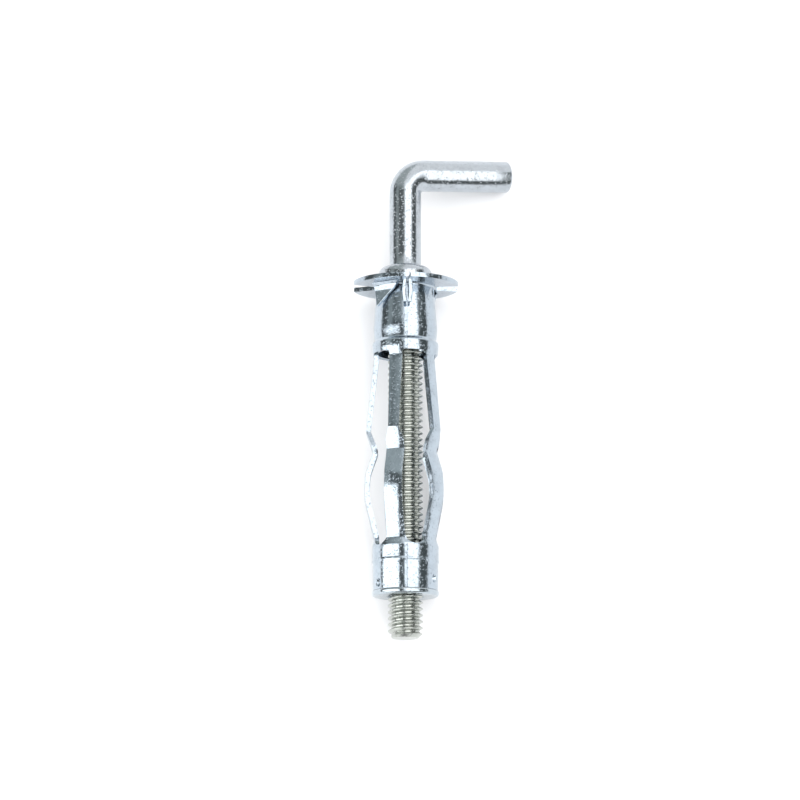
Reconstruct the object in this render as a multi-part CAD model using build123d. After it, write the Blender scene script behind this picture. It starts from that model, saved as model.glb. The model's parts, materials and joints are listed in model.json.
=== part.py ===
from build123d import *
from math import asin, atan2, cos, degrees, radians, sin, sqrt, tan
import os

# A hollow wall anchor with an L hook: a slotted sleeve of rolled sheet steel, a threaded insert
# staked into its far end, and a hook bent on the end of the screw.
# Everything is drawn upright first, with the screw's axis on Z, the flange's top face at z = 0
# and the hook above it. Azimuths are in degrees about that axis, from +X towards +Y.
# The last section lays the anchor down as it comes to rest. All lengths are in millimetres.

# Sheet and flange
sheet_t = 0.5
flange_d = 12.0
neck_d = 6.4
neck_fillet = 0.2

# Upper ring
ring_top_d = 7.14
ring_top_depth = 6.75
bead_step_depth = 7.0
ring_d = 7.36
ring_end_depth = 8.05

# Legs: outer diameters over the legs, and where they lie below the flange's top face
leg_count = 5
leg_azimuth = -108.0
shoulder_d = 7.0
shoulder_depth = 8.45
knee_d = 8.76
knee_depth = 16.95
waist_d = 7.3
waist_depth = 19.25
flank_d = 8.96
flank_depth = 21.7
bulge_d = 9.24
bulge_depth = 24.3
bulge_fillet = 6.0
flank_fillet = 4.0
foot_d = 7.0
foot_depth = 29.0

# Lower ring
lower_ring_d = 7.32
lower_ring_depth = 29.8
lower_bead_depth = 31.4
lower_bead_step = 0.25
skirt_d = 7.22
sleeve_end_d = 7.14
sleeve_depth = 34.6

# Windows between the legs
window_top_depth = 8.1
window_corner = 0.35
window_end_depth = 29.75
leg_top_w = 1.5
leg_knee_w = 1.2
leg_wide_w = 2.05
leg_flare_length = 1.35

# Butt seam of the rolled sheet
seam_azimuth = -87.0
seam_gap = 0.1

# Notches in the flange, as pairs half a turn apart
notch_root_d = 7.0
narrow_notch_root_w = 0.2
narrow_notch_angle = 8.0
side_notch_azimuth = 1.0
side_notch_root_widths = (2.0, 1.5)
side_notch_angles = (10.0, 46.0)

# Claws that bite into the board, as pairs half a turn apart
claw_standoff = 0.1
claw_azimuth = -123.0
claw_root_w = 3.4
claw_drop = 2.55
claw_tip_shift = -1.3
claw_tip_w = 0.16

# Prongs turned down beside the seam, in pairs half a turn apart
prong_slit = 0.14
prong_reach_d = 9.6
prong_tip_d = 8.4
prong_tip_w = 0.3
prong_drop = 2.5

# Stake dimples that hold the insert
stake_azimuths = (-147.0, -27.0, 93.0)
stake_depths = (33.9, 33.4, 33.6)
stake_d = 0.95
stake_tip_d = 0.6
stake_sink = 0.28

# Threaded insert
insert_fit = 0.03
insert_depth_top = 31.9
insert_flange_d = 7.36
insert_flange_t = 0.62
insert_chamfer = 0.15
thread_d = 3.9
thread_clearance = 0.05

# Hook screw
shank_d = 3.55
thread_start_depth = 4.0
screw_end_depth = 39.8
screw_end_chamfer = 0.55
collar_d = 5.95
collar_foot_d = 5.4
collar_seat_gap = 0.05
collar_wide_height = 1.15
collar_height = 1.95
collar_round_inset = 0.28
collar_round_rise = 0.5
collar_neck_fillet = 0.25
hook_azimuth = 20.0
hook_arm_height = 12.58
hook_arm_reach = 12.4
hook_arm_rise = 4.5
hook_bend_r = 2.35
hook_end_chamfer = 0.25

# Clear of everything that a cutter has to pass
cutter_overrun = 2.0

# Search for the resting pose: the arm's first guessed dip, and how often it is refined
first_dip = 25.0
resting_steps = 40


def sheet_corners():
    """The corners of the rolled sheet's outer line, from the flange's rim down to the open end,
    each with the radius of its bend."""
    corners = [
        (flange_d, sheet_t, 0),
        (neck_d, sheet_t, neck_fillet),
        (ring_top_d, ring_top_depth, 0),
        (ring_d, bead_step_depth, 0),
        (ring_d, ring_end_depth, 0),
        (shoulder_d, shoulder_depth, 0),
        (knee_d, knee_depth, 0),
        (waist_d, waist_depth, 0),
        (flank_d, flank_depth, flank_fillet),
        (bulge_d, bulge_depth, bulge_fillet),
        (foot_d, foot_depth, 0),
        (lower_ring_d, lower_ring_depth, 0),
        (lower_ring_d, lower_bead_depth, 0),
        (skirt_d, lower_bead_depth + lower_bead_step, 0),
        (sleeve_end_d, sleeve_depth, 0),
    ]
    return [(Vector(d / 2, -depth), bend) for d, depth, bend in corners]


def inward(start, end):
    """The direction from the outer face of the sheet to its inner face."""
    along = (end - start).normalized()
    return Vector(along.Y, -along.X)


def inner_corners():
    """The same corners on the sheet's inner line, one wall away and mitred."""
    outer = sheet_corners()
    inner = [(outer[0][0] + inward(outer[0][0], outer[1][0]) * sheet_t, 0)]
    for (before, _), (corner, bend), (after, _) in zip(outer, outer[1:], outer[2:]):
        first = inward(before, corner)
        second = inward(corner, after)
        mitre = (first + second) * (sheet_t / (1 + first.dot(second)))
        turns_inward = first.cross(second).Z < 0
        inner_bend = 0 if bend == 0 else bend - sheet_t if turns_inward else bend + sheet_t
        inner.append((corner + mitre, inner_bend))
    inner.append((outer[-1][0] + inward(outer[-2][0], outer[-1][0]) * sheet_t, 0))
    return inner


def sheet_line(corners):
    points = [point for point, bend in corners]
    return FilletPolyline(*points, radius=[bend for point, bend in corners[1:-1]])


def sleeve_shell():
    outer = sheet_corners()
    inner = inner_corners()
    wall = sheet_line(outer) + sheet_line(inner)
    wall += Line(outer[0][0], inner[0][0])
    wall += Line(outer[-1][0], inner[-1][0])
    return revolve(Plane.XZ * make_face(wall), Axis.Z, 360)


def window_half_angle(leg_width, leg_d):
    """Half the opening between two legs, so that each leg keeps its width on its outer face."""
    return 180 / leg_count - degrees(asin(leg_width / leg_d))


def window_face(distance):
    """The window's outline on a plane this far from the axis. It widens with the distance, so the
    legs' cut edges are square to the sheet."""
    def across(angle):
        return distance * tan(radians(angle))

    top = across(window_half_angle(leg_top_w, ring_d))
    corner = across(degrees(2 * window_corner / ring_d))
    knee = across(window_half_angle(leg_knee_w, knee_d))
    flare_depth = knee_depth + leg_flare_length
    flare_d = knee_d + (waist_d - knee_d) * leg_flare_length / (waist_depth - knee_depth)
    sides = [
        (across(window_half_angle(leg_wide_w, flare_d)), -flare_depth),
        (across(window_half_angle(leg_wide_w, waist_d)), -waist_depth),
        (across(window_half_angle(leg_wide_w, bulge_d)), -(flank_depth + bulge_depth) / 2),
        (across(window_half_angle(leg_wide_w, foot_d + sheet_t)), -foot_depth + 2 * sheet_t),
    ]
    line = Polyline((-top + corner, -window_top_depth), (top - corner, -window_top_depth))
    for side in (1, -1):
        right = [(side * x, y) for x, y in sides]
        bow = 1 - sqrt(0.5)
        line += ThreePointArc(
            (side * (top - corner), -window_top_depth),
            (side * (top - corner * bow), -window_top_depth - window_corner * bow),
            (side * top, -window_top_depth - window_corner),
        )
        line += Line((side * top, -window_top_depth - window_corner), (side * knee, -knee_depth))
        line += Line((side * knee, -knee_depth), right[0])
        line += Spline(*right)
    foot_x, foot_y = sides[-1]
    line += ThreePointArc((foot_x, foot_y), (0, -window_end_depth), (-foot_x, foot_y))
    upright = Plane(origin=(distance, 0, 0), x_dir=(0, 1, 0), z_dir=(1, 0, 0))
    return upright * make_face(line)


def window_cutter():
    near = window_face(sheet_t)
    far = window_face(flange_d / 2)
    return loft([near.face(), far.face()], ruled=True)


def notch_cutter(azimuth, root_w, angle):
    """A slot from its root out past the rim of the flange, with sides that open at an angle."""
    root = notch_root_d / 2
    reach = flange_d / 2 + cutter_overrun
    root_half = root_w / 2
    rim_half = root_half + (reach - root) * tan(radians(angle / 2))
    slot = Polyline(
        (root, root_half),
        (reach, rim_half),
        (reach, -rim_half),
        (root, -root_half),
        close=True,
    )
    prism = extrude(make_face(slot), sheet_t + 2 * cutter_overrun)
    return Rot(0, 0, azimuth) * Pos(0, 0, -sheet_t) * prism


def claw(azimuth):
    """A pointed tab turned down from the flange, standing just off the tube."""
    root = claw_root_w / 2
    tab = make_face(Polyline(
        (-root, -sheet_t / 2),
        (root, -sheet_t / 2),
        (root, -sheet_t),
        (claw_tip_shift + claw_tip_w / 2, -sheet_t - claw_drop),
        (claw_tip_shift - claw_tip_w / 2, -sheet_t - claw_drop),
        (-root, -sheet_t),
        close=True,
    ))
    tube_slope = (ring_top_d - neck_d) / 2 / (ring_top_depth - sheet_t)
    stand = neck_d / 2 + tube_slope * claw_drop + claw_standoff
    upright = Plane(origin=(stand, 0, 0), x_dir=(0, 1, 0), z_dir=(1, 0, 0))
    return Rot(0, 0, azimuth) * extrude(upright * tab, sheet_t)


def prong(azimuth, side):
    """A pointed fin turned down from the lip of a narrow notch, square to the tube."""
    root = notch_root_d / 2
    reach = prong_reach_d / 2
    tip = prong_tip_d / 2
    fin = make_face(Polyline(
        (root, -sheet_t / 2),
        (reach, -sheet_t / 2),
        (reach, -sheet_t),
        (tip + prong_tip_w / 2, -sheet_t - prong_drop),
        (tip - prong_tip_w / 2, -sheet_t - prong_drop),
        (root, -sheet_t),
        close=True,
    ))
    middle = side * (prong_slit + sheet_t) / 2
    plate = Pos(0, middle, 0) * extrude(Plane.XZ * fin, sheet_t / 2, both=True)
    return Rot(0, 0, azimuth) * plate


def stake_punch(azimuth, depth):
    """A blunt cone that dents the skirt of the lower ring."""
    flare = (stake_d - stake_tip_d) / 2 / stake_sink
    far_r = stake_tip_d / 2 + flare * (stake_sink + sheet_t)
    cone = Cone(stake_tip_d / 2, far_r, stake_sink + sheet_t, align=(Align.CENTER, Align.CENTER, Align.MIN))
    skirt_slope = (skirt_d - sleeve_end_d) / 2 / (sleeve_depth - lower_bead_depth - lower_bead_step)
    skirt_r = sleeve_end_d / 2 + skirt_slope * (sleeve_depth - depth)
    return Rot(0, 0, azimuth) * Pos(skirt_r - stake_sink, 0, -depth) * Rot(0, 90, 0) * cone


def make_sleeve():
    sleeve = sleeve_shell()
    window = window_cutter()
    for leg in range(leg_count):
        azimuth = leg_azimuth + (leg + 0.5) * 360 / leg_count
        sleeve -= Rot(0, 0, azimuth) * window
    for half_turn, side_root_w, side_angle in zip((0, 180), side_notch_root_widths, side_notch_angles):
        sleeve -= notch_cutter(seam_azimuth + half_turn, narrow_notch_root_w, narrow_notch_angle)
        sleeve -= notch_cutter(side_notch_azimuth + half_turn, side_root_w, side_angle)
        sleeve += claw(claw_azimuth + half_turn)
        for side in (1, -1):
            sleeve += prong(seam_azimuth + half_turn, side)
    seam = Box(flange_d, seam_gap, 2 * sleeve_depth + 2 * cutter_overrun,
               align=(Align.MIN, Align.CENTER, Align.CENTER))
    sleeve -= Rot(0, 0, seam_azimuth) * seam
    for azimuth, depth in zip(stake_azimuths, stake_depths):
        sleeve -= stake_punch(azimuth, depth)
    return sleeve


def make_insert():
    body_r = sleeve_end_d / 2 - sheet_t - insert_fit
    bore_r = thread_d / 2 + thread_clearance
    bottom = -sleeve_depth - insert_flange_t
    section = Polyline(
        (bore_r, -insert_depth_top),
        (body_r, -insert_depth_top),
        (body_r, -sleeve_depth),
        (insert_flange_d / 2, -sleeve_depth),
        (insert_flange_d / 2, bottom + insert_chamfer),
        (insert_flange_d / 2 - insert_chamfer, bottom),
        (bore_r, bottom),
        close=True,
    )
    return revolve(Plane.XZ * make_face(section), Axis.Z, 360)


def collar_foot_z():
    """The collar's foot sits in the rounded mouth of the flange, a small gap off it."""
    mouth_r = neck_fillet + sheet_t
    mouth_center_r = neck_d / 2 + neck_fillet
    across = mouth_center_r - collar_foot_d / 2
    return -mouth_r + sqrt((mouth_r + collar_seat_gap) ** 2 - across ** 2)


def hook_path():
    rise = hook_arm_reach * tan(radians(hook_arm_rise))
    return FilletPolyline(
        (0, 0, collar_wide_height),
        (0, 0, hook_arm_height),
        (hook_arm_reach, 0, hook_arm_height + rise),
        radius=hook_bend_r,
    )


def make_hook_screw():
    foot = collar_foot_z()
    neck_r = shank_d / 2 + collar_neck_fillet
    collar_line = Polyline(
        (0, -sheet_t),
        (shank_d / 2, -sheet_t),
        (shank_d / 2, foot),
        (collar_foot_d / 2, foot),
        (collar_d / 2, collar_wide_height),
    )
    collar_line += ThreePointArc(
        (collar_d / 2, collar_wide_height),
        (collar_d / 2 - collar_round_inset, collar_wide_height + collar_round_rise),
        (neck_r, collar_height),
    )
    collar_line += Polyline((neck_r, collar_height), (0, collar_height), (0, -sheet_t))
    collar = revolve(Plane.XZ * make_face(collar_line), Axis.Z, 360)
    shank = Pos(0, 0, -thread_start_depth) * Cylinder(
        shank_d / 2, thread_start_depth + collar_height, align=(Align.CENTER, Align.CENTER, Align.MIN))
    thread_line = Polyline(
        (0, -thread_start_depth + (thread_d - shank_d) / 2),
        (shank_d / 2, -thread_start_depth + (thread_d - shank_d) / 2),
        (thread_d / 2, -thread_start_depth),
        (thread_d / 2, -screw_end_depth + screw_end_chamfer),
        (thread_d / 2 - screw_end_chamfer, -screw_end_depth),
        (0, -screw_end_depth),
        close=True,
    )
    thread = revolve(Plane.XZ * make_face(thread_line), Axis.Z, 360)
    path = hook_path()
    start = Plane(origin=path @ 0, z_dir=path % 0)
    arm = sweep(start * Circle(shank_d / 2), path=path)
    arm = chamfer(arm.faces().sort_by(Axis.X)[-1].edges(), hook_end_chamfer)
    return Rot(0, 0, hook_azimuth) * (collar + shank + thread + arm)


def leg_drop_angle(down_azimuth):
    """How far the nearest edge of a leg's bulge is from the lowest line of the sleeve."""
    half_width = degrees(asin(leg_wide_w / bulge_d))
    nearest = min(abs((leg_azimuth + leg * 360 / leg_count - down_azimuth + 180) % 360 - 180)
                  for leg in range(leg_count))
    return max(nearest - half_width, 0)


def resting_angles(bulge_r, bulge_z):
    """The tilt of the axis and the dip of the hook's arm when the flange's rim, one leg and the
    end of the arm all touch the ground."""
    dip = first_dip
    tilt = 0.0
    for _ in range(resting_steps):
        down_azimuth = hook_azimuth + 90 - dip
        low_leg = bulge_r * cos(radians(leg_drop_angle(down_azimuth)))
        tilt = degrees(atan2(flange_d / 2 - low_leg, bulge_z - sheet_t))
        ct, st = cos(radians(tilt)), sin(radians(tilt))
        axis_height = flange_d / 2 * ct + sheet_t * st
        slope = st * sin(radians(hook_arm_rise)) - ct * cos(radians(hook_arm_rise)) * sin(radians(dip))
        reach = hook_arm_reach - hook_end_chamfer * cos(radians(hook_arm_rise))
        tip_z = hook_arm_height + reach * tan(radians(hook_arm_rise))
        edge = shank_d / 2 * sqrt(1 - slope ** 2)
        dip = degrees(asin((axis_height + tip_z * st - edge) / (reach * ct)))
    return tilt, dip


def lay_down(solids):
    """Turn the anchor on its side and set its lowest point on the ground, centred on the origin."""
    bulge = sheet_line(sheet_corners()).edges().filter_by(GeomType.CIRCLE).filter_by(
        lambda e: abs(e.radius - bulge_fillet) < 1e-6)[0]
    bulge_r = bulge.arc_center.X + bulge_fillet
    tilt, dip = resting_angles(bulge_r, -bulge.arc_center.Y)
    up_azimuth = hook_azimuth - 90 - dip
    turn = Rot(tilt - 90, 0, 0) * Rot(0, 0, -90 - up_azimuth)
    box = Compound(children=[turn * solid for solid in solids]).bounding_box()
    middle = box.center()
    place = Pos(-middle.X, -middle.Y, -box.min.Z) * turn
    return [place * solid for solid in solids], place


names = ["sleeve", "threaded_insert", "hook_screw"]
placed, resting_place = lay_down([make_sleeve(), make_insert(), make_hook_screw()])

os.makedirs("parts", exist_ok=True)
for name, solid in zip(names, placed):
    export_step(solid, f"parts/{name}.step")
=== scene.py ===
import json
import math

import bmesh
import bpy
from mathutils import Matrix, Vector


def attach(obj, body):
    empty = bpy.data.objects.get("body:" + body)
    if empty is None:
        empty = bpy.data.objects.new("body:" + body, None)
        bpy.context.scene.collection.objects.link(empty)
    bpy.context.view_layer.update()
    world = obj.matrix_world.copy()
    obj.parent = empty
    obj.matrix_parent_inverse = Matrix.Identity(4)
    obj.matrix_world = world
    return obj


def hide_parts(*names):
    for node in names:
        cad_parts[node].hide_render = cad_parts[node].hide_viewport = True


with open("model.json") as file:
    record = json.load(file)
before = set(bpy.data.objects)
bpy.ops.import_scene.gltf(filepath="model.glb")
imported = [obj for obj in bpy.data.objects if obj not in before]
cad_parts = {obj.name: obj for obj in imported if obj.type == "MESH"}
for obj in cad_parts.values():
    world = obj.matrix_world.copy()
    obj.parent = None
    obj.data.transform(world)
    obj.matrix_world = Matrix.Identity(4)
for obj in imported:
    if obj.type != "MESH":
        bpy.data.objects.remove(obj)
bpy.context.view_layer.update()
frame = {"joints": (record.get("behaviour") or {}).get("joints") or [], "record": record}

mm = 0.001

# The anchor's own space, read from the frame: the screw's axis is Z with the hook above, and
# z = 0 is the flange's top face. Lengths there are millimetres and azimuths degrees from X.
anchor = {
    "armAzimuth": 20.0,     # where the hook's arm points at rest
    "sheet": 0.5,           # thickness of the rolled sheet
}


def anchorSpace():
    mounts = {mount["name"]: mount for mount in frame["record"]["mounts"]}
    up = Vector(frame["joints"][0]["axis"]).normalized()
    arm = Vector(mounts["hook_arm"]["axis"])
    across = (arm - up * arm.dot(up)).normalized()
    across.rotate(Matrix.Rotation(math.radians(-anchor["armAzimuth"]), 3, up))
    third = up.cross(across)
    origin = Vector(mounts["wall_hole"]["pos_m"]) + up * anchor["sheet"] * mm
    turn = Matrix((across, third, up)).transposed().to_4x4()
    return Matrix.Translation(origin) @ turn @ Matrix.Scale(mm, 4)


space = anchorSpace()


def polar(radius, azimuth, z):
    a = math.radians(azimuth)
    return Vector((radius * math.cos(a), radius * math.sin(a), z))


def degreesFrom(point, azimuth):              # how far round the axis a point lies from an azimuth
    turn = math.degrees(math.atan2(point.y, point.x)) - azimuth
    return abs((turn + 180) % 360 - 180)


# a finished piece: its place goes into its mesh, and it rides on a body of the frame
def makePiece(name, bm, body, nodes, material, smoothAngle):
    bmesh.ops.transform(bm, matrix=space, verts=bm.verts)
    mesh = bpy.data.meshes.new(name)
    bm.to_mesh(mesh)
    bm.free()
    mesh.shade_smooth()
    mesh.set_sharp_from_angle(angle=math.radians(smoothAngle))
    mesh.materials.append(material)
    piece = bpy.data.objects.new(name, mesh)
    bpy.context.scene.collection.objects.link(piece)
    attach(piece, body)
    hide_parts(*nodes)
    print(name, len(mesh.polygons), "faces")


# Shader maths
class Sock:                                   # a node's output, with maths on it as Math nodes
    def __init__(self, graph, out):
        self.graph = graph
        self.out = out

    def __add__(self, other):
        return self.graph.calc("ADD", self, other)

    def __radd__(self, other):
        return self.graph.calc("ADD", other, self)

    def __sub__(self, other):
        return self.graph.calc("SUBTRACT", self, other)

    def __rsub__(self, other):
        return self.graph.calc("SUBTRACT", other, self)

    def __mul__(self, other):
        return self.graph.calc("MULTIPLY", self, other)

    def __rmul__(self, other):
        return self.graph.calc("MULTIPLY", other, self)


class Graph:                                  # one material's or world's nodes
    def __init__(self, owner):
        owner.use_nodes = True
        self.tree = owner.node_tree
        self.tree.nodes.clear()

    def add(self, kind, settings=None, inputs=None, output=0):
        node = self.tree.nodes.new(kind)
        for key, value in (settings or {}).items():
            setattr(node, key, value)
        for key, value in (inputs or {}).items():
            socket = node.inputs[key]
            if isinstance(value, Sock):
                self.tree.links.new(value.out, socket)
            else:
                socket.default_value = value
        return Sock(self, node.outputs[output]) if node.outputs else None

    def calc(self, operation, a, b=0.0):
        return self.add("ShaderNodeMath", {"operation": operation}, {0: a, 1: b})

    def mask(self, factor, low, high):        # 0 below low, 1 above high, eased between
        settings = {"interpolation_type": "SMOOTHSTEP"}
        return self.add("ShaderNodeMapRange", settings, {"Value": factor, "From Min": low, "From Max": high})

    def mix(self, factor, a, b):
        return self.add("ShaderNodeMix", {"data_type": "RGBA"}, {0: factor, 6: a, 7: b}, 2)

    def noise(self, where, scale, detail, rough):
        inputs = {"Vector": where, "Scale": scale, "Detail": detail, "Roughness": rough}
        return self.add("ShaderNodeTexNoise", None, inputs)


def opaque(tone):
    return (*tone, 1.0)


# Object coordinates turned into the anchor's own millimetres
def anchorCoordinates(g):
    back = space.inverted()
    settings = {"vector_type": "POINT"}
    inputs = {"Vector": g.add("ShaderNodeTexCoord", output=3), "Location": back.to_translation(),
              "Rotation": back.to_euler(), "Scale": back.to_scale()}
    return g.add("ShaderNodeMapping", settings, inputs)


# Bright zinc plating: a fine crystalline grain, soft clouds, small pits and faint drawing lines
zincFinish = {
    "sleeveZinc": {"tone": (0.45, 0.515, 0.575), "dull": (0.34, 0.39, 0.44), "rough": 0.13, "pits": 0.27},
    "screwZinc": {"tone": (0.49, 0.53, 0.57), "dull": (0.38, 0.41, 0.44), "rough": 0.18, "pits": 0.32,
                  "thread": (0.47, 0.49, 0.46), "threadRough": 0.24},
    "insertZinc": {"tone": (0.47, 0.53, 0.575), "dull": (0.36, 0.41, 0.44), "rough": 0.14, "pits": 0.27},
}

# what the plating shares on all three pieces
zincPattern = {
    "grain": (4.5, 3.0, 0.6),               # each noise: scale, detail, roughness
    "cloud": (0.8, 3.0, 0.55),
    "drawn": (3.0, 2.0, 0.6),
    "pits": (4.2, 1.5, 0.5),
    "drawnStretch": (2.2, 2.2, 0.25),       # the drawing lines run along the axis
    "pitEdge": (0.58, 0.70),                # where the noise passes into a pit or a cloud
    "cloudEdge": (0.40, 0.68),
    "dulling": {"cloud": 0.45, "pits": 0.35, "grain": 0.5},
    "roughening": {"cloud": 0.08, "pits": 0.10, "grain": 0.10},
    "relief": {"cloud": 0.35, "drawn": 0.07, "grain": 0.12},
    "reliefDepth": 0.00004,                 # in metres
    "threadEnd": (-4.3, -3.8),              # heights between which the thread's tone gives way
    "threadDull": 0.75,                     # its dull tone, as a share of its own
}


def zinc(name):
    look = zincFinish[name]
    plan = zincPattern
    material = bpy.data.materials.new(name)
    g = Graph(material)
    where = anchorCoordinates(g)
    grain = g.noise(where, *plan["grain"])
    cloud = g.noise(where, *plan["cloud"])
    stretched = g.add("ShaderNodeMapping", None, {"Vector": where, "Scale": plan["drawnStretch"]})
    drawn = g.noise(stretched, *plan["drawn"])
    pits = g.mask(g.noise(where, *plan["pits"]), *plan["pitEdge"])
    inCloud = g.mask(cloud, *plan["cloudEdge"])
    fleck = grain - 0.5                       # the grain works both ways from its middle
    share = plan["dulling"]
    dullness = inCloud * share["cloud"] + pits * share["pits"] + fleck * share["grain"]
    share = plan["roughening"]
    rough = look["rough"] + fleck * share["grain"] + (cloud - 0.5) * share["cloud"] + pits * share["pits"]
    share = plan["relief"]
    relief = grain * share["grain"] + drawn * share["drawn"] + cloud * share["cloud"] + pits * look["pits"]
    base = g.mix(dullness, opaque(look["tone"]), opaque(look["dull"]))
    if "thread" in look:
        height = g.add("ShaderNodeSeparateXYZ", None, {"Vector": where}, 2)
        onThread = 1.0 - g.mask(height, *plan["threadEnd"])
        dull = [tone * plan["threadDull"] for tone in look["thread"]]
        base = g.mix(onThread, base, g.mix(dullness, opaque(look["thread"]), opaque(dull)))
        rough = rough + onThread * (look["threadRough"] - look["rough"])
    bump = g.add("ShaderNodeBump", None, {"Strength": 1.0, "Distance": plan["reliefDepth"], "Height": relief})
    shader = g.add("ShaderNodeBsdfPrincipled", None,
                   {"Base Color": base, "Metallic": 1.0, "Roughness": rough, "Normal": bump})
    g.add("ShaderNodeOutputMaterial", None, {"Surface": shader})
    return material


# Sleeve: a flat blank of sheet with its windows, rolled round the axis along the sheet's line
sleeve = {
    # corners of the sheet's outer line: diameter, depth below the flange's top face, bend radius
    "line": [
        (11.98, 0.5, 0.0), (6.4, 0.5, 0.2),                         # flange and neck
        (7.12, 5.2, 1.5), (6.9, 6.6, 0.25),                         # upper ring and its valley
        (7.3, 6.88, 0.1), (7.38, 7.0, 0.15), (7.34, 7.7, 1.0),      # bead
        (7.0, 8.65, 0.5), (8.76, 16.95, 0.35), (7.3, 19.25, 0.3),   # legs: top, knee, waist
        (8.96, 21.7, 4.0), (9.22, 24.3, 6.0), (7.0, 29.0, 0.8),     # legs: bulge and foot
        (7.32, 29.8, 0.5), (7.32, 31.2, 0.3),                       # lower ring
        (7.40, 31.42, 0.05), (7.2, 31.62, 0.1), (7.14, 34.6, 0.0),  # its fine step, and its end
    ],
    "rowGap": 0.45,
    "arcStep": 9.0,         # degrees of a bend from row to row
    "legs": 5,
    "legAzimuth": -108.0,
    "windowTop": 8.1,
    "windowCorner": 0.35,
    "windowFoot": 28.5,     # where the round end of a window starts
    "windowEnd": 29.75,
    "legWidths": [(8.1, 1.5), (16.95, 1.2), (18.3, 2.05), (28.5, 2.05)],    # depth, width
    "legColumns": 10,
    "windowColumns": 18,
    "flatAbove": 7.3,       # rows run level above and below these depths
    "flatBelow": 30.6,
    "seamAzimuth": -87.0,
    "seamGap": 0.03,
    "edge": 0.06,           # rounding of the cut edges, and of the flange's rim
    "rimEdge": 0.23,
    "rimSegments": 6,
    "smooth": 20.0,         # degrees, below the steps of a rounded edge
}

sideTop = sleeve["windowTop"] + sleeve["windowCorner"]      # where a window's straight sides start
sharpTurn = 1.0                                             # radians between the faces of a cut edge


# points along a line of (diameter, depth, bend) corners, with each bend as an arc
def roundedLine(corners, gap, arcStep):
    points = [Vector((corners[0][0] / 2, corners[0][1]))]
    for before, corner, after in zip(corners, corners[1:], corners[2:]):
        here = Vector((corner[0] / 2, corner[1]))
        inward = (here - Vector((before[0] / 2, before[1]))).normalized()
        outward = (Vector((after[0] / 2, after[1])) - here).normalized()
        turn = math.atan2(inward.cross(outward), inward.dot(outward))
        reach = corner[2] * math.tan(abs(turn) / 2)
        addStraight(points, here - inward * reach, gap)
        steps = max(2, math.ceil(abs(turn) / math.radians(arcStep)))
        side = Vector((-inward.y, inward.x)) * math.copysign(corner[2], turn)
        middle = points[-1] + side
        for step in range(1, steps + 1):
            arm = Matrix.Rotation(turn * step / steps, 2) @ -side
            points.append(middle + arm)
    addStraight(points, Vector((corners[-1][0] / 2, corners[-1][1])), gap)
    return points


def addStraight(points, end, gap):
    start = points[-1]
    pieces = max(1, math.ceil((end - start).length / gap))
    for step in range(1, pieces + 1):
        points.append(start.lerp(end, step / pieces))


def between(table, x):
    for (x0, y0), (x1, y1) in zip(table, table[1:]):
        if x <= x1:
            return y0 + (y1 - y0) * max(x - x0, 0) / (x1 - x0)
    return table[-1][1]


class SheetLine:                              # the sheet's outer line, by depth below the flange
    def __init__(self, plan):
        self.rows = roundedLine(plan["line"], plan["rowGap"], plan["arcStep"])
        widthChanges = [depth for depth, width in plan["legWidths"][1:-1]]
        for depth in (sideTop, *widthChanges, plan["windowFoot"]):
            self.addRow(depth)

    def addRow(self, depth, closest=0.02):    # a row at this depth, new or the nearest one moved there
        row = Vector((self.radius(depth), depth))
        nearest = min(self.rows, key=lambda point: abs(point.y - depth))
        if abs(nearest.y - depth) > closest:
            index = next(i for i, point in enumerate(self.rows) if point.y > depth)
            self.rows.insert(index, row)
        else:
            nearest.xy = row

    def radius(self, depth):
        for above, below in zip(self.rows, self.rows[1:]):
            if above.y <= depth <= below.y and below.y > above.y:
                return above.x + (below.x - above.x) * (depth - above.y) / (below.y - above.y)
        return self.rows[-1].x


sheetLine = SheetLine(sleeve)


def halfOpening(depth):                       # half a window's opening, in degrees
    radius = sheetLine.radius(depth)
    legHalf = math.asin(between(sleeve["legWidths"], depth) / 2 / radius)
    return 180 / sleeve["legs"] - math.degrees(legHalf)


# the depth of a point in a window's columns: its rows bow round the window's top and foot
def windowDepth(depth, share):
    plan = sleeve
    if depth <= sideTop:
        side = (1 - abs(share)) * math.radians(halfOpening(sideTop)) * sheetLine.radius(sideTop)
        rise = math.sqrt(plan["windowCorner"] ** 2 - max(plan["windowCorner"] - side, 0) ** 2)
        return depth - rise * (depth - plan["flatAbove"]) / (sideTop - plan["flatAbove"])
    if plan["windowFoot"] <= depth < plan["flatBelow"]:
        drop = (plan["windowEnd"] - plan["windowFoot"]) * math.sqrt(max(1 - share ** 2, 0))
        return depth + drop * (plan["flatBelow"] - depth) / (plan["flatBelow"] - plan["windowFoot"])
    return depth


# the sheet's columns, once round the axis: the middle of its leg or window, how far it stands from
# there as a share of the half width, and whether it is in a window
def sheetColumns():
    plan = sleeve
    step = 360 / plan["legs"]
    columns = []
    for leg in range(plan["legs"]):
        center = plan["legAzimuth"] + leg * step
        for index in range(plan["legColumns"]):
            columns.append((center, 2 * index / plan["legColumns"] - 1, False))
        for index in range(plan["windowColumns"]):
            share = math.sin(math.pi * (index / plan["windowColumns"] - 0.5))
            columns.append((center + step / 2, share, True))
    return columns


def columnAzimuth(column, depth):
    center, share, inWindow = column
    opening = halfOpening(min(max(depth, sideTop), sleeve["windowFoot"]))
    half = opening if inWindow else 180 / sleeve["legs"] - opening
    return center + share * half


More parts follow.
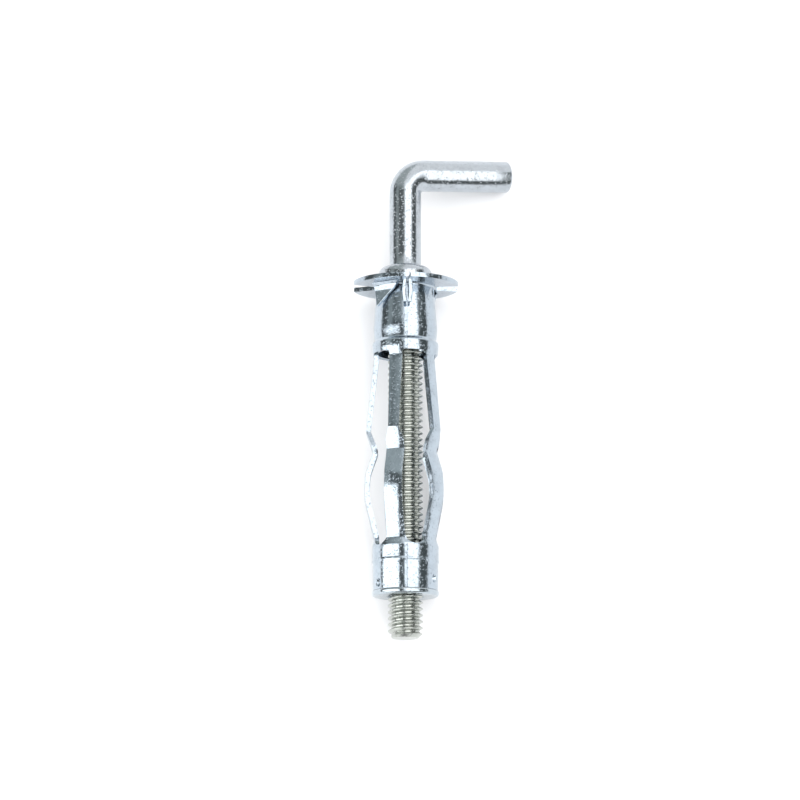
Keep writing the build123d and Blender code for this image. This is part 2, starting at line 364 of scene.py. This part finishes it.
def rollSleeve(weld=0.002, slack=0.01):
    plan = sleeve
    rows = sheetLine.rows
    columns = sheetColumns()
    bm = bmesh.new()
    bmesh.ops.create_grid(bm, x_segments=len(columns), y_segments=len(rows) - 1, size=1.0)
    places = {}
    for vert in bm.verts:
        column = round((vert.co.x + 1) / 2 * len(columns))
        row = round((vert.co.y + 1) / 2 * (len(rows) - 1))
        places[vert] = (column % len(columns), row)
    openFaces = []
    for face in bm.faces:
        around = {places[vert][0] for vert in face.verts}
        depths = [rows[places[vert][1]].y for vert in face.verts]
        start = min(around) if max(around) - min(around) == 1 else max(around)      # the last face wraps
        inWindow = columns[start][2]
        if inWindow and min(depths) >= sideTop - slack and max(depths) <= plan["windowFoot"] + slack:
            openFaces.append(face)
    for vert, (column, row) in places.items():
        radius, depth = rows[row]
        center, share, inWindow = columns[column]
        azimuth = columnAzimuth(columns[column], depth)
        if inWindow and depth > plan["flatAbove"]:
            depth = windowDepth(depth, share)
            radius = sheetLine.radius(depth)
        vert.co = polar(radius, azimuth, -depth)
    bmesh.ops.delete(bm, geom=openFaces, context="FACES")
    bmesh.ops.remove_doubles(bm, verts=bm.verts, dist=weld)
    return bm


def edgesOf(faces):
    return list(dict.fromkeys(edge for face in faces for edge in face.edges))


def cutFaces(bm, faces, point, normal):       # cuts the faces by a plane and gives back all of them
    verts = dict.fromkeys(vert for face in faces for vert in face.verts)
    geom = [*verts, *edgesOf(faces), *faces]
    cut = bmesh.ops.bisect_plane(bm, geom=geom, dist=0.001, plane_co=point, plane_no=normal)
    return [item for item in cut["geom"] if isinstance(item, bmesh.types.BMFace)]


# cuts a slot with straight sides through some faces, outwards from its root
def cutSlot(bm, faces, azimuth, rootRadius, rootWidth, angle):
    axis = polar(1, azimuth, 0)
    across = polar(1, azimuth + 90, 0)
    lean = math.radians(angle / 2)
    for side in (1, -1):
        normal = across * (side * math.cos(lean)) - axis * math.sin(lean)
        faces = cutFaces(bm, faces, axis * rootRadius + across * (side * rootWidth / 2), normal)
    faces = cutFaces(bm, faces, axis * rootRadius, axis)
    dropped = []
    for face in faces:
        middle = face.calc_center_median()
        out = middle.dot(axis)
        half = rootWidth / 2 + (out - rootRadius) * math.tan(lean)
        if out > rootRadius and abs(middle.dot(across)) < half:
            dropped.append(face)
    bmesh.ops.delete(bm, geom=dropped, context="FACES")


notches = {
    "rootRadius": 3.5,
    # azimuth, width at the root, opening angle
    "slots": [(-87.0, 0.2, 8.0), (93.0, 0.2, 8.0), (1.0, 2.0, 10.0), (181.0, 1.5, 46.0)],
    "around": 8.0,          # the stretch of sheet that is cut: degrees past the notch or seam
    "inside": 0.3,          # and millimetres inside the notch's root
}


def cutNotches(bm):
    root = notches["rootRadius"]
    for azimuth, rootWidth, angle in notches["slots"]:
        reach = angle / 2 + math.degrees(rootWidth / 2 / root) + notches["around"]
        near = []
        for face in bm.faces:
            middle = face.calc_center_median()
            onFlange = middle.z > -anchor["sheet"] - 0.001 and middle.xy.length > root - notches["inside"]
            if onFlange and degreesFrom(middle, azimuth) < reach:
                near.append(face)
        cutSlot(bm, near, azimuth, root, rootWidth, angle)


def cutSeam(bm):
    azimuth = sleeve["seamAzimuth"]
    near = [face for face in bm.faces if degreesFrom(face.calc_center_median(), azimuth) < notches["around"]]
    cutSlot(bm, near, azimuth, 1.0, sleeve["seamGap"], 0.0)


stakes = {
    "places": [(-147.0, 33.9), (-27.0, 33.4), (93.0, 33.6)],    # azimuth, depth
    "rim": 0.50,            # radii of the dent, outside and at its floor
    "floor": 0.20,
    "sink": 0.38,
    "patch": 0.75,          # the faces this near are divided for it
    "cuts": 3,
}


def punchStakes(bm):
    plan = stakes
    for azimuth, depth in plan["places"]:
        center = polar(sheetLine.radius(depth), azimuth, -depth)
        near = [face for face in bm.faces if (face.calc_center_median() - center).length < plan["patch"]]
        bmesh.ops.subdivide_edges(bm, edges=edgesOf(near), cuts=plan["cuts"], use_grid_fill=True)
        for vert in bm.verts:
            away = (vert.co - center).length
            if away < plan["rim"]:
                share = min((plan["rim"] - away) / (plan["rim"] - plan["floor"]), 1)
                vert.co -= polar(1, azimuth, 0) * (plan["sink"] * share * share * (3 - 2 * share))


claws = {
    "azimuths": [-123.0, 57.0],
    "stand": 3.45,          # how far the inner face stands from the axis
    "rootWidth": 3.4,
    "drop": 2.55,
    "tipShift": -1.3,
    "tipWidth": 0.16,
    "sheet": 0.36,
    "edge": 0.06,
    "rows": 20,
    "fold": 0.95,           # height and reach of its fold from the flange
    "foldOut": 0.5,
}

prongs = {
    "azimuths": [-87.0, 93.0],
    "slit": 0.14,
    "root": 3.5,            # radii at the flange and at the tip
    "reach": 4.8,
    "tip": 4.2,
    "tipWidth": 0.3,
    "drop": 2.5,
    "bow": 0.12,            # how far the fin bends away from the slit half-way down
    "close": 0.05,          # how far its tip comes back towards the slit
    "sheet": 0.42,
    "edge": 0.10,
    "rows": 6,
}


def sharpEdges(bm):
    return [edge for edge in bm.edges if edge.calc_face_angle(0) > sharpTurn]


def roundEdges(bm, edges, offset, segments=2, clamp=True):
    bmesh.ops.bevel(bm, geom=edges, offset=offset, affect="EDGES", segments=segments, profile=0.5,
                    material=-1, clamp_overlap=clamp)


# a plate turned down from the flange: a root from near to far, sunk in the flange, and a pointed tip
def makePlate(plan, near, far, tip):
    sheet = anchor["sheet"]
    half = plan["tipWidth"] / 2
    start = sheet / 2
    end = sheet + plan["drop"]
    outline = [(near, start), (far, start), (far, sheet), (tip + half, end), (tip - half, end), (near, sheet)]
    bm = bmesh.new()
    bm.faces.new([bm.verts.new((x, 0, -down)) for x, down in outline])
    for row in range(1, plan["rows"]):
        geom = [*bm.verts, *bm.edges, *bm.faces]
        level = start + (end - start) * row / plan["rows"]
        bmesh.ops.bisect_plane(bm, geom=geom, dist=0.001, plane_co=(0, 0, -level), plane_no=(0, 0, 1))
    rise = bmesh.ops.extrude_face_region(bm, geom=list(bm.faces))
    moved = [item for item in rise["geom"] if isinstance(item, bmesh.types.BMVert)]
    bmesh.ops.translate(bm, vec=(0, plan["sheet"], 0), verts=moved)
    bmesh.ops.recalc_face_normals(bm, faces=bm.faces)
    roundEdges(bm, sharpEdges(bm), plan["edge"], clamp=False)
    return bm


def addTo(bm, part):
    mesh = bpy.data.meshes.new("part")
    part.to_mesh(mesh)
    part.free()
    bm.from_mesh(mesh)
    bpy.data.meshes.remove(mesh)


def makeClaw(azimuth):
    plan = claws
    claw = makePlate(plan, -plan["rootWidth"] / 2, plan["rootWidth"] / 2, plan["tipShift"])
    for vert in claw.verts:
        up = min(max(plan["fold"] + anchor["sheet"] + vert.co.z, 0), plan["fold"])
        vert.co.y += plan["foldOut"] * (1 - math.sqrt(1 - (up / plan["fold"]) ** 2))
    place = Matrix.Rotation(math.radians(azimuth), 4, "Z") @ Matrix.Translation((plan["stand"], 0, 0))
    lay = Matrix(((0, 1, 0, 0), (1, 0, 0, 0), (0, 0, 1, 0), (0, 0, 0, 1)))
    bmesh.ops.transform(claw, matrix=place @ lay, verts=claw.verts)
    bmesh.ops.recalc_face_normals(claw, faces=claw.faces)
    return claw


def makeProng(azimuth, side):
    plan = prongs
    prong = makePlate(plan, plan["root"], plan["reach"], plan["tip"])
    for vert in prong.verts:
        down = min(max((-vert.co.z - anchor["sheet"]) / plan["drop"], 0), 1)
        vert.co.y += plan["slit"] / 2 + plan["bow"] * math.sin(math.pi * down) - plan["close"] * down
        vert.co.y *= side
    bmesh.ops.rotate(prong, verts=prong.verts, matrix=Matrix.Rotation(math.radians(azimuth), 3, "Z"))
    bmesh.ops.recalc_face_normals(prong, faces=prong.faces)
    return prong


def faceOutwards(bm):
    bmesh.ops.recalc_face_normals(bm, faces=bm.faces)
    onRing = min(bm.faces, key=lambda face: abs(face.calc_center_median().z + sleeve["flatAbove"]))
    if onRing.normal.xy.dot(onRing.calc_center_median().xy) < 0:
        bmesh.ops.reverse_faces(bm, faces=bm.faces)
    bm.normal_update()


def buildSleeve():
    plan = sleeve
    bm = rollSleeve()
    cutNotches(bm)
    cutSeam(bm)
    punchStakes(bm)
    faceOutwards(bm)
    bmesh.ops.solidify(bm, geom=list(bm.faces), thickness=anchor["sheet"])
    bm.normal_update()
    rimRadius = plan["line"][0][0] / 2 - 0.01
    rim = [edge for edge in sharpEdges(bm) if min(vert.co.xy.length for vert in edge.verts) > rimRadius]
    roundEdges(bm, rim, plan["rimEdge"], plan["rimSegments"])
    roundEdges(bm, sharpEdges(bm), plan["edge"])
    for azimuth in claws["azimuths"]:
        addTo(bm, makeClaw(azimuth))
    for azimuth in prongs["azimuths"]:
        for side in (1, -1):
            addTo(bm, makeProng(azimuth, side))
    return bm


print("rolling the sleeve")
makePiece("rolled_sleeve", buildSleeve(), "sleeve_body", ["sleeve"],
          zinc("sleeveZinc"), sleeve["smooth"])


# Hook screw: the collar is turned, the rod runs on up from it and round the bend
hook = {
    "rodRadius": 1.775,
    "sides": 64,
    "lowEnd": -3.7,         # inside the first turns of the thread
    "collar": [(2.86, 0.0), (2.945, 0.12), (2.975, 0.3)],   # radius and height, from its foot to its rim
    "domeFoot": 1.0,
    "domeTop": 1.95,
    "domeFullness": 0.85,   # 1 is an ellipse, less is fuller
    "domeSteps": 9,
    "neckFillet": 0.12,
    "neck": [(0.03, 0.05), (0.0, 0.15)],    # past the rod's radius, above the dome
    "shankSteps": 6,
    "bendRadius": 2.35,
    "bendSteps": 28,
    "armHeight": 12.58,
    "armReach": 12.38,
    "armRise": 4.5,         # degrees above square to the shank
    "armSteps": 5,
    "endRound": 0.28,
    "endSteps": 4,
    "smooth": 40.0,
}


def collarLine():
    plan = hook
    rod = plan["rodRadius"]
    line = [(rod, plan["lowEnd"]), (rod, plan["collar"][0][1]), *plan["collar"]]
    wide = plan["collar"][-1][0] - rod - plan["neckFillet"]
    tall = plan["domeTop"] - plan["domeFoot"]
    for step in range(plan["domeSteps"] + 1):
        a = math.radians(90 * step / plan["domeSteps"])
        line.append((rod + plan["neckFillet"] + wide * math.cos(a),
                     plan["domeFoot"] + tall * math.sin(a) ** plan["domeFullness"]))
    return line + [(rod + past, plan["domeTop"] + above) for past, above in plan["neck"]]


# a line of (radius, height) points turned round the axis
def turnLine(line, sides, closed=False):
    bm = bmesh.new()
    verts = [bm.verts.new((radius, 0, z)) for radius, z in line]
    ends = [*verts[1:], verts[0]] if closed else verts[1:]
    edges = [bm.edges.new(pair) for pair in zip(verts, ends)]
    bmesh.ops.spin(bm, geom=[*verts, *edges], cent=(0, 0, 0), axis=(0, 0, 1), dvec=(0, 0, 0),
                   angle=math.tau, steps=sides, use_merge=True)
    bmesh.ops.remove_doubles(bm, verts=bm.verts, dist=0.001)
    return bm


def openEdges(bm):
    return [edge for edge in bm.edges if edge.is_boundary]


def upperLoop(bm):
    edges = openEdges(bm)
    highest = max(edge.verts[0].co.z for edge in edges)
    return [edge for edge in edges if min(vert.co.z for vert in edge.verts) > highest - 0.01]


def pushLoop(bm, loop, move):
    rise = bmesh.ops.extrude_edge_only(bm, edges=loop)
    verts = [item for item in rise["geom"] if isinstance(item, bmesh.types.BMVert)]
    bmesh.ops.translate(bm, vec=move, verts=verts)
    return [item for item in rise["geom"] if isinstance(item, bmesh.types.BMEdge)]


def pushSteps(bm, loop, move, steps):
    for _ in range(steps):
        loop = pushLoop(bm, loop, move / steps)
    return loop


def loopVerts(loop):
    return list(dict.fromkeys(vert for edge in loop for vert in edge.verts))


def buildHook():
    plan = hook
    line = collarLine()
    bm = turnLine(line, plan["sides"])
    turn = math.radians(90 - plan["armRise"])
    tangent = plan["bendRadius"] * math.tan(turn / 2)
    bendFoot = plan["armHeight"] - tangent
    loop = pushSteps(bm, upperLoop(bm), Vector((0, 0, bendFoot - line[-1][1])), plan["shankSteps"])
    bend = bmesh.ops.spin(bm, geom=[*loopVerts(loop), *loop], cent=(plan["bendRadius"], 0, bendFoot),
                          axis=(0, 1, 0), dvec=(0, 0, 0), angle=turn, steps=plan["bendSteps"])
    loop = [item for item in bend["geom_last"] if isinstance(item, bmesh.types.BMEdge)]
    arm = Vector((math.sin(turn), 0, math.cos(turn)))
    length = plan["armReach"] / math.cos(math.radians(plan["armRise"])) - tangent - plan["endRound"]
    loop = pushSteps(bm, loop, arm * length, plan["armSteps"])
    before = plan["rodRadius"]
    along = 0.0
    for step in range(1, plan["endSteps"] + 1):     # the end's edge is rounded over, then closed flat
        a = math.radians(90 * step / plan["endSteps"])
        past, along = along, plan["endRound"] * math.sin(a)
        loop = pushLoop(bm, loop, arm * (along - past))
        verts = loopVerts(loop)
        middle = sum((vert.co for vert in verts), Vector()) / len(verts)
        after = plan["rodRadius"] - plan["endRound"] * (1 - math.cos(a))
        bmesh.ops.scale(bm, vec=(after / before,) * 3, space=Matrix.Translation(-middle), verts=verts)
        before = after
    bmesh.ops.holes_fill(bm, edges=loop)
    bmesh.ops.rotate(bm, verts=bm.verts, matrix=Matrix.Rotation(math.radians(anchor["armAzimuth"]), 3, "Z"))
    return bm


# Screw thread: one pitch of its section spun up the axis, so that every turn meets the next
thread = {
    "major": 1.93,
    "minor": 1.53,
    "pitch": 0.7,
    "crest": 0.10,          # width of the flat on a crest, and at a root
    "root": 0.14,
    "crestDrop": 0.03,      # the crest's edges are broken by this much, over twice the next
    "crestEdge": 0.02,
    "top": -3.2,
    "tip": -39.8,
    "tipRadius": 1.42,
    "tipChamfer": 0.5,
    "stepsPerTurn": 40,
}


def threadSection():
    plan = thread
    flank = (plan["pitch"] - plan["crest"] - plan["root"]) / 2
    crestFoot = plan["root"] + flank
    crestTop = crestFoot + plan["crest"]
    shoulder = plan["major"] - plan["crestDrop"]
    ease = plan["crestEdge"]
    return [(plan["minor"], 0), (plan["minor"], plan["root"]), (shoulder, crestFoot - ease),
            (plan["major"], crestFoot + ease), (plan["major"], crestTop - ease), (shoulder, crestTop + ease),
            (plan["minor"], plan["pitch"])]


def buildThread():
    plan = thread
    bm = bmesh.new()
    low = plan["tip"] - plan["pitch"]
    verts = [bm.verts.new((radius, 0, low + z)) for radius, z in threadSection()]
    edges = [bm.edges.new(pair) for pair in zip(verts, verts[1:])]
    turns = math.ceil((plan["top"] - low) / plan["pitch"]) + 1
    bmesh.ops.spin(bm, geom=[*verts, *edges], cent=(0, 0, 0), axis=(0, 0, 1),
                   dvec=(0, 0, plan["pitch"] / plan["stepsPerTurn"]), angle=math.tau * turns,
                   steps=turns * plan["stepsPerTurn"])
    bmesh.ops.remove_doubles(bm, verts=bm.verts, dist=0.002)
    for level, side in ((plan["tip"], -1), (plan["top"], 1)):
        geom = [*bm.verts, *bm.edges, *bm.faces]
        bmesh.ops.bisect_plane(bm, geom=geom, dist=0.0005, plane_co=(0, 0, level), plane_no=(0, 0, side),
                               clear_outer=True)
    slope = (plan["major"] - plan["tipRadius"]) / plan["tipChamfer"]
    for vert in bm.verts:
        limit = plan["tipRadius"] + slope * (vert.co.z - plan["tip"])
        reach = vert.co.xy.length
        if reach > limit:
            vert.co.xy *= limit / reach
    bmesh.ops.holes_fill(bm, edges=openEdges(bm))
    bmesh.ops.recalc_face_normals(bm, faces=bm.faces)
    return bm


def buildScrew():
    bm = buildHook()
    bmesh.ops.holes_fill(bm, edges=openEdges(bm))
    bmesh.ops.recalc_face_normals(bm, faces=bm.faces)
    addTo(bm, buildThread())
    return bm


print("turning the hook screw")
makePiece("hook_rod", buildScrew(), "hook_body", ["hook_screw"],
          zinc("screwZinc"), hook["smooth"])


# Threaded insert: a turned bush with a flange under the sleeve's end
insert = {
    "bore": 1.98,
    "body": 3.04,
    "flange": 3.66,
    "top": 31.9,            # depths of its top, of the flange's upper face and of its foot
    "seat": 34.6,
    "foot": 35.22,
    "topChamfer": 0.1,
    "footChamfer": 0.12,
    "upperEdge": [(0.12, 0.01), (0.04, 0.05), (0.0, 0.13)],     # inside the rim, below the seat
    "round": 0.30,
    "roundSteps": 5,
    "sides": 96,
    "smooth": 35.0,
}


def buildInsert():
    plan = insert
    bore, flange = plan["bore"], plan["flange"]
    top, seat, foot = -plan["top"], -plan["seat"], -plan["foot"]
    line = [(bore, top - plan["topChamfer"]), (bore + plan["topChamfer"], top), (plan["body"], top),
            (plan["body"], seat)]
    line += [(flange - inside, seat - below) for inside, below in plan["upperEdge"]]
    for step in range(plan["roundSteps"] + 1):
        a = math.radians(90 * step / plan["roundSteps"])
        line.append((flange - plan["round"] * (1 - math.cos(a)), foot + plan["round"] * (1 - math.sin(a))))
    line += [(bore + plan["footChamfer"], foot), (bore, foot + plan["footChamfer"])]
    bm = turnLine(line, plan["sides"], closed=True)
    bmesh.ops.recalc_face_normals(bm, faces=bm.faces)
    return bm


print("turning the insert")
makePiece("staked_insert", buildInsert(), "sleeve_body", ["threaded_insert"],
          zinc("insertZinc"), insert["smooth"])


# Camera, at the photo's viewing angle
view = {
    "distance": 343.0,       # mm from the point looked at
    "lift": 11.3,            # degrees round from square on, towards the screw's tip
    "lookAt": (-0.6, 0.0, -13.2),
    "pixelsPerMm": 9.0,
    "side": 800,
    "sensor": 36.0,
}


def direction(x, y, z):                       # a direction of the anchor's own space in the world
    return (space.to_3x3() @ Vector((x, y, z))).normalized()


def viewDirections():                         # the camera's right, up and backward
    lift = math.radians(view["lift"])
    away = direction(0, -math.cos(lift), -math.sin(lift))
    right = direction(0, 0, 1).cross(away).normalized()
    return right, away.cross(right), away


def placed(middle, right, up, away):          # a place in the world from three directions
    return Matrix.Translation(middle) @ Matrix((right, up, away)).transposed().to_4x4()


def makeCamera():
    right, up, away = viewDirections()
    data = bpy.data.cameras.new("camera")
    data.sensor_width = view["sensor"]
    data.lens = view["pixelsPerMm"] * view["distance"] / view["side"] * view["sensor"]
    data.clip_start = 0.01
    camera = bpy.data.objects.new("camera", data)
    eye = space @ Vector(view["lookAt"]) + away * view["distance"] * mm
    camera.matrix_world = placed(eye, right, up, away)
    bpy.context.scene.collection.objects.link(camera)
    bpy.context.scene.camera = camera


# Studio: soft panels that the metal mirrors, dark surroundings between them that give it its
# contrast, a lamp overhead and a pale floor
studio = {
    # where each panel of the surroundings stands, in degrees as seen from the anchor: sideways from
    # the camera, and up the anchor's axis towards the hook
    "panels": [
        {"sides": (-3.0, 49.0), "heights": (-30.0, 34.0), "level": 2.25},       # in front
        {"sides": (-74.0, -52.0), "heights": (5.0, 30.0), "level": 0.32},       # a faint glow at the left
        {"sides": (-15.0, 180.0), "heights": (30.0, 100.0), "level": 1.05},     # past the hook, at the right
        {"sides": (-180.0, -15.0), "heights": (32.0, 100.0), "level": 0.5},     # and at the left
    ],
    "soft": 5.0,            # how far a panel's edge fades, either way
    "dark": 0.13,
    "darkTone": (0.92, 1.0, 0.98),
    "toneEdge": (0.5, 1.2),
    "backdrop": (0.93, 0.94, 0.96),
    # a panel near the anchor, left of it and towards the tip; its place and sizes are millimetres
    "sidePanel": {"azimuth": -144.0, "away": 150.0, "hookEnd": 8.0, "tipEnd": -200.0, "width": 187.0,
                  "level": 1.9},
    # a wide lamp that lights the floor and the cut edges; metres and watts
    "lamp": {"size": 0.5, "place": (0.12, 0.05, 0.6), "power": 1.5},
    "floor": {"half": 1.5, "tone": (0.72, 0.72, 0.7308), "glow": (0.97, 0.98, 1.0), "glowLevel": 0.22},
}


def makeWorld():
    plan = studio
    world = bpy.data.worlds.new("studio")
    bpy.context.scene.world = world
    g = Graph(world)
    toward = g.add("ShaderNodeTexCoord", output=0)
    right, up, away = [g.add("ShaderNodeVectorMath", {"operation": "DOT_PRODUCT"}, {0: toward, 1: way}, 1)
                       for way in viewDirections()]
    side = g.calc("ARCTAN2", right, away) * (180 / math.pi)
    height = g.calc("ARCSINE", up) * (180 / math.pi)
    soft = plan["soft"]

    def inside(angle, ends):                  # 1 between the ends, fading to 0 past them
        low, high = ends
        return g.mask(angle, low - soft, low + soft) * (1.0 - g.mask(angle, high - soft, high + soft))

    level = plan["dark"]
    for panel in plan["panels"]:
        level = inside(side, panel["sides"]) * inside(height, panel["heights"]) * panel["level"] + level
    tint = g.mix(g.mask(level, *plan["toneEdge"]), opaque(plan["darkTone"]), (1.0, 1.0, 1.0, 1.0))
    light = g.add("ShaderNodeBackground", None, {"Color": tint, "Strength": level})
    plain = g.add("ShaderNodeBackground", None, {"Color": opaque(plan["backdrop"]), "Strength": 1.0})
    seen = g.add("ShaderNodeLightPath")
    shown = g.add("ShaderNodeMixShader", None, {0: seen, 1: light, 2: plain})
    g.add("ShaderNodeOutputWorld", None, {"Surface": shown})


def makeFloor():
    plan = studio["floor"]
    bm = bmesh.new()
    bmesh.ops.create_grid(bm, x_segments=1, y_segments=1, size=plan["half"])
    mesh = bpy.data.meshes.new("floor")
    bm.to_mesh(mesh)
    bm.free()
    material = bpy.data.materials.new("paleFloor")
    g = Graph(material)
    inputs = {"Base Color": opaque(plan["tone"]), "Roughness": 0.9, "Specular IOR Level": 0.1,
              "Emission Color": opaque(plan["glow"]), "Emission Strength": plan["glowLevel"]}
    shader = g.add("ShaderNodeBsdfPrincipled", None, inputs)
    g.add("ShaderNodeOutputMaterial", None, {"Surface": shader})
    mesh.materials.append(material)
    floor = bpy.data.objects.new("floor", mesh)
    bpy.context.scene.collection.objects.link(floor)


def makeLamp():
    plan = studio["lamp"]
    data = bpy.data.lights.new("softLamp", "AREA")
    data.shape = "DISK"
    data.size = plan["size"]
    data.energy = plan["power"]
    lamp = bpy.data.objects.new("softLamp", data)
    lamp.location = plan["place"]
    lamp.rotation_euler = Vector(lamp.location).to_track_quat("Z", "Y").to_euler()
    lamp.visible_glossy = False               # the metal doesn't mirror it
    bpy.context.scene.collection.objects.link(lamp)


def makeSidePanel():
    plan = studio["sidePanel"]
    data = bpy.data.lights.new("sidePanel", "AREA")
    data.shape = "RECTANGLE"
    data.size = plan["width"] * mm
    data.size_y = (plan["hookEnd"] - plan["tipEnd"]) * mm
    data.energy = 4 * data.size * data.size_y * plan["level"]     # the watts for that radiance
    panel = bpy.data.objects.new("sidePanel", data)
    panel.visible_camera = False
    out = direction(*polar(1, plan["azimuth"], 0))
    along = direction(0, 0, 1)
    middle = polar(plan["away"], plan["azimuth"], (plan["hookEnd"] + plan["tipEnd"]) / 2)
    panel.matrix_world = placed(space @ middle, along.cross(out), along, out)
    bpy.context.scene.collection.objects.link(panel)


print("setting the studio")
makeCamera()
makeWorld()
makeFloor()
makeLamp()
makeSidePanel()
bpy.context.scene.view_settings.view_transform = "Standard"
